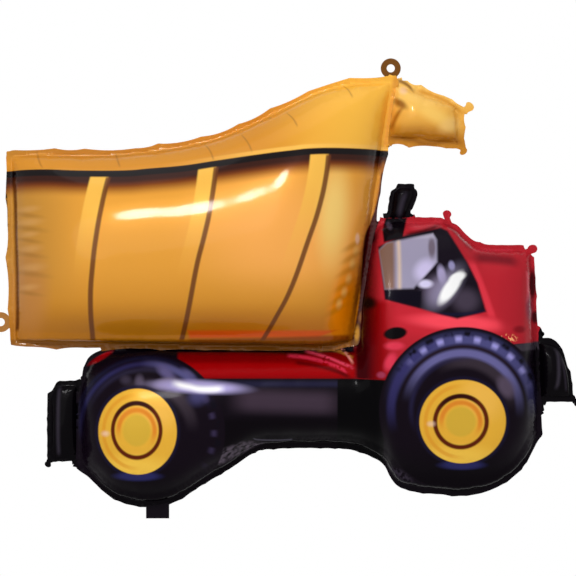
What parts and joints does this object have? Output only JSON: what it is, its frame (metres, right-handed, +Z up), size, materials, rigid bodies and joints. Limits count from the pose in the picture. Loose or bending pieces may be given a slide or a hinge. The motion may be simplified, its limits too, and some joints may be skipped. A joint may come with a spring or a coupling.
{
  "type": "dump truck foil balloon",
  "caption": "Gas-filled foil party balloon shaped and printed as a dump truck, with hang tabs and a filling neck",
  "frame": {"origin": "close to the centre of lift, the middle of the gas, on the weld plane between the two films", "axes": "+X the way the printed truck points, +Z up, Y across the balloon's thickness"},
  "size_m": [0.943, 0.2012, 0.736],
  "materials": {
    "film_yellow": "gloss",
    "film_bright_yellow": "gloss",
    "film_black": "gloss",
    "film_dark": "gloss",
    "film_red": "gloss",
    "film_grey": "gloss",
    "weld_yellow": "gloss",
    "weld_dark": "gloss"
  },
  "bodies": {
    "root": {"bed_panel_film_right": "film_yellow", "bed_panel_film_left": "film_yellow", "bed_band_film_right": "film_bright_yellow", "bed_band_film_left": "film_bright_yellow", "visor_film_right": "film_bright_yellow", "visor_film_left": "film_bright_yellow", "stack_film_right": "film_black", "stack_film_left": "film_black", "cab_film_right": "film_red", "cab_film_left": "film_red", "cab_window_film_right": "film_grey", "cab_window_film_left": "film_grey", "chassis_film_right": "film_black", "chassis_film_left": "film_black", "rear_tyre_film_right": "film_dark", "rear_tyre_film_left": "film_dark", "rear_hub_film_right": "film_yellow", "rear_hub_film_left": "film_yellow", "front_tyre_film_right": "film_dark", "front_tyre_film_left": "film_dark", "front_hub_film_right": "film_yellow", "front_hub_film_left": "film_yellow", "flap_film_right": "film_black", "flap_film_left": "film_black", "bumper_film_right": "film_black", "bumper_film_left": "film_black", "bed_rim": "weld_yellow", "visor_rim": "weld_yellow", "lower_rim": "weld_dark", "stack_rim": "weld_dark", "flap_rim": "weld_dark", "bumper_rim": "weld_dark", "back_hang_tab": "weld_yellow", "top_hang_tab": "weld_yellow", "filling_neck": "weld_dark"}
  },
  "joints": []
}
